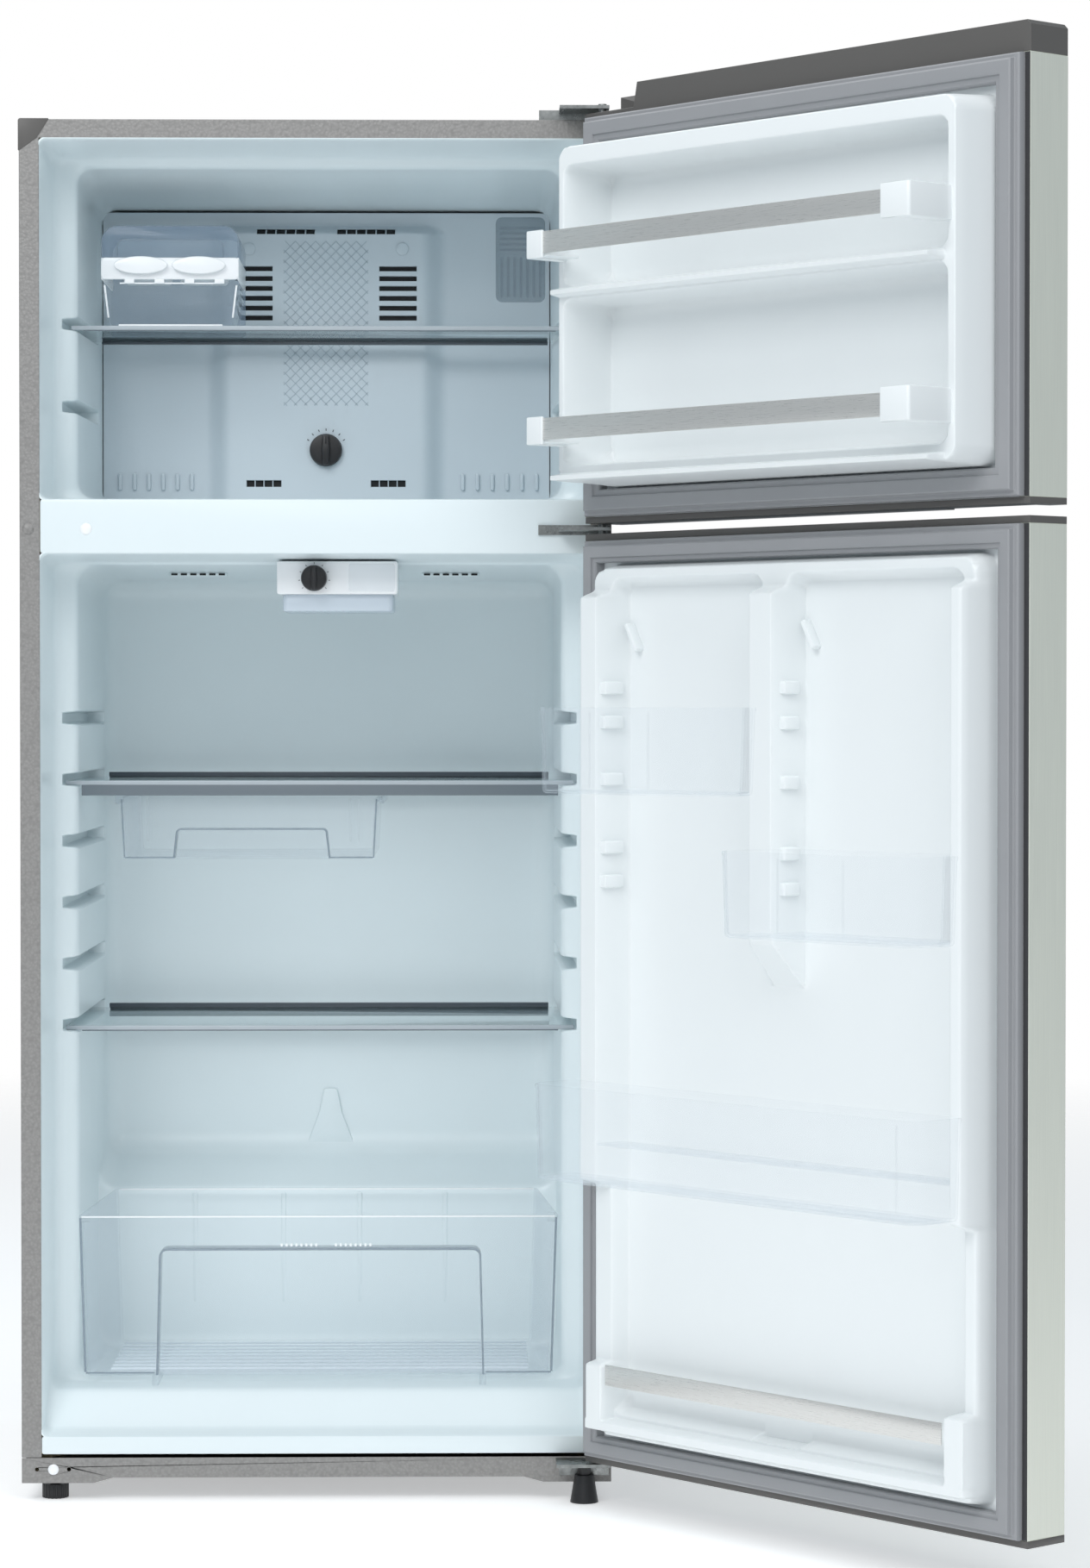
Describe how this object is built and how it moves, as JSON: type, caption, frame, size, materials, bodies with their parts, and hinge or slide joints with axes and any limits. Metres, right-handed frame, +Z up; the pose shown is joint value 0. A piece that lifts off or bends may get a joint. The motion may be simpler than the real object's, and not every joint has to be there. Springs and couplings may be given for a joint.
{
  "type": "top freezer refrigerator",
  "caption": "Free-standing refrigerator with a freezer above, both doors wide open, glass shelves, clear bins and drawers, twist ice maker and door shelves.",
  "frame": {"origin": "on the floor, below the middle of the cabinet's front flange plane", "axes": "+X to the right seen from the front, +Y from the front into the cabinet, +Z up"},
  "size_m": [1.1854, 1.2389, 1.691],
  "materials": {
    "case_steel": "leather-grain embossed grey paint",
    "door_steel": "satin warm grey paint",
    "galvanised": "galvanised sheet",
    "foam": "blown polyurethane foam",
    "liner_white": "satin white thermoformed sheet",
    "cover_white": "satin white moulding",
    "cap_grey": "dark grey satin moulding",
    "gasket_grey": "soft grey magnetic gasket",
    "glass": "tempered clear glass",
    "clear_plastic": "clear styrene",
    "trim_grey": "silver grey shelf trim",
    "housing_blue_grey": "blue grey moulding",
    "lens": "frosted lamp lens",
    "strip_steel": "brushed retainer strip",
    "zinc_steel": "bright zinc plate",
    "black_plastic": "black moulding",
    "black_paint": "black gloss paint",
    "plug_mix": "grey and white plugs",
    "aluminium": "plain",
    "nylon": "natural nylon"
  },
  "bodies": {
    "cabinet": {"outer_case": "case_steel", "rear_panel": "galvanised", "cabinet_foam": "foam", "freezer_liner": "liner_white", "fridge_liner": "liner_white", "mullion_cover": "cover_white", "case_plugs": "plug_mix", "kick_plate": "case_steel", "base_tray": "galvanised", "compressor": "black_paint", "condenser_coil": "black_paint", "evaporator_coil": "aluminium", "evaporator_cover": "cover_white", "freezer_lamp_lens": "lens", "fan_motor": "galvanised", "control_housing": "housing_blue_grey", "fridge_lamp_lens": "lens", "top_hinge": "zinc_steel", "middle_hinge": "zinc_steel", "bottom_hinge": "zinc_steel", "hinge_screws": "zinc_steel", "cord_gland": "black_plastic"},
    "freezer_door": {"freezer_door_skin": "door_steel", "freezer_door_top_cap": "cap_grey", "freezer_door_bottom_cap": "cap_grey", "freezer_door_foam": "foam", "freezer_door_liner": "liner_white", "freezer_door_gasket": "gasket_grey", "freezer_retainer_strips": "strip_steel", "freezer_retainer_brackets": "cover_white", "freezer_door_bushes": "nylon"},
    "fridge_door": {"fridge_door_skin": "door_steel", "fridge_door_top_cap": "cap_grey", "fridge_door_bottom_cap": "cap_grey", "fridge_door_foam": "foam", "fridge_door_liner": "liner_white", "fridge_door_gasket": "gasket_grey", "fridge_retainer_strip": "strip_steel", "fridge_door_bushes": "nylon"},
    "upper_door_bin": {"upper_door_bin": "clear_plastic"},
    "middle_door_bin": {"middle_door_bin": "clear_plastic"},
    "lower_door_bin": {"lower_door_bin": "clear_plastic"},
    "freezer_shelf": {"freezer_shelf_glass": "glass", "freezer_shelf_trim": "trim_grey", "ice_frame": "cover_white"},
    "upper_shelf": {"upper_shelf_glass": "glass", "upper_shelf_trim": "trim_grey"},
    "lower_shelf": {"lower_shelf_glass": "glass", "lower_shelf_trim": "trim_grey"},
    "snack_drawer": {"snack_drawer": "clear_plastic"},
    "crisper_drawer": {"crisper_drawer": "clear_plastic"},
    "ice_bin": {"ice_bin": "clear_plastic"},
    "ice_twister_left": {"ice_twister_left": "cover_white"},
    "ice_twister_right": {"ice_twister_right": "cover_white"},
    "airflow_knob": {"airflow_knob": "black_plastic"},
    "thermostat_knob": {"thermostat_knob": "black_plastic"},
    "evaporator_fan": {"evaporator_fan": "cover_white"},
    "rear_rollers": {"rear_rollers": "black_plastic"},
    "left_foot": {"left_foot": "black_plastic"},
    "right_foot": {"right_foot": "black_plastic"}
  },
  "joints": [
    {"name": "freezer_door_hinge", "type": "hinge", "parent": "cabinet", "child": "freezer_door", "pos_m": [0.343, -0.035, 1.4], "axis": [0, 0, 1], "range_deg": [-130.5, 0]},
    {"name": "fridge_door_hinge", "type": "hinge", "parent": "cabinet", "child": "fridge_door", "pos_m": [0.343, -0.035, 0.6], "axis": [0, 0, 1], "range_deg": [-130.5, 0]},
    {"name": "upper_door_bin_lift", "type": "slide", "parent": "fridge_door", "child": "upper_door_bin", "axis": [0, 0, 1], "range_m": [0, 0.035]},
    {"name": "middle_door_bin_lift", "type": "slide", "parent": "fridge_door", "child": "middle_door_bin", "axis": [0, 0, 1], "range_m": [0, 0.035]},
    {"name": "lower_door_bin_lift", "type": "slide", "parent": "fridge_door", "child": "lower_door_bin", "axis": [0, 0, 1], "range_m": [0, 0.035]},
    {"name": "freezer_shelf_slide", "type": "slide", "parent": "cabinet", "child": "freezer_shelf", "axis": [0, -1, 0], "range_m": [0, 0.2]},
    {"name": "upper_shelf_slide", "type": "slide", "parent": "cabinet", "child": "upper_shelf", "axis": [0, -1, 0], "range_m": [0, 0.19]},
    {"name": "lower_shelf_slide", "type": "slide", "parent": "cabinet", "child": "lower_shelf", "axis": [0, -1, 0], "range_m": [0, 0.19]},
    {"name": "snack_drawer_slide", "type": "slide", "parent": "upper_shelf", "child": "snack_drawer", "axis": [0, -1, 0], "range_m": [0, 0.15]},
    {"name": "crisper_drawer_slide", "type": "slide", "parent": "cabinet", "child": "crisper_drawer", "axis": [0, -1, 0], "range_m": [0, 0.3]},
    {"name": "ice_bin_slide", "type": "slide", "parent": "freezer_shelf", "child": "ice_bin", "axis": [0, -1, 0], "range_m": [0, 0.1]},
    {"name": "ice_twister_left_turn", "type": "hinge", "parent": "freezer_shelf", "child": "ice_twister_left", "pos_m": [-0.2206, 0.15, 1.496], "axis": [0, 1, 0], "range_deg": [0, 150], "stiffness_Nm_per_rad": 0.05},
    {"name": "ice_twister_right_turn", "type": "hinge", "parent": "freezer_shelf", "child": "ice_twister_right", "pos_m": [-0.1494, 0.15, 1.496], "axis": [0, 1, 0], "range_deg": [0, 150], "stiffness_Nm_per_rad": 0.05},
    {"name": "airflow_knob_turn", "type": "hinge", "parent": "cabinet", "child": "airflow_knob", "pos_m": [0, 0.35, 1.2846], "axis": [0, 1, 0], "range_deg": [0, 180]},
    {"name": "thermostat_knob_turn", "type": "hinge", "parent": "cabinet", "child": "thermostat_knob", "pos_m": [-0.0045, 0.06, 1.1124], "axis": [0, 1, 0], "range_deg": [0, 270]},
    {"name": "evaporator_fan_spin", "type": "hinge", "parent": "cabinet", "child": "evaporator_fan", "pos_m": [0, 0.387, 1.49], "axis": [0, 1, 0], "continuous": true},
    {"name": "rear_roller_spin", "type": "hinge", "parent": "cabinet", "child": "rear_rollers", "pos_m": [0, 0.56, 0.016], "axis": [1, 0, 0], "continuous": true},
    {"name": "left_foot_turn", "type": "hinge", "parent": "cabinet", "child": "left_foot", "pos_m": [-0.317, 0.027, 0.02], "axis": [0, 0, 1], "continuous": true},
    {"name": "right_foot_turn", "type": "hinge", "parent": "cabinet", "child": "right_foot", "pos_m": [0.322, -0.016, 0.02], "axis": [0, 0, 1], "continuous": true}
  ]
}
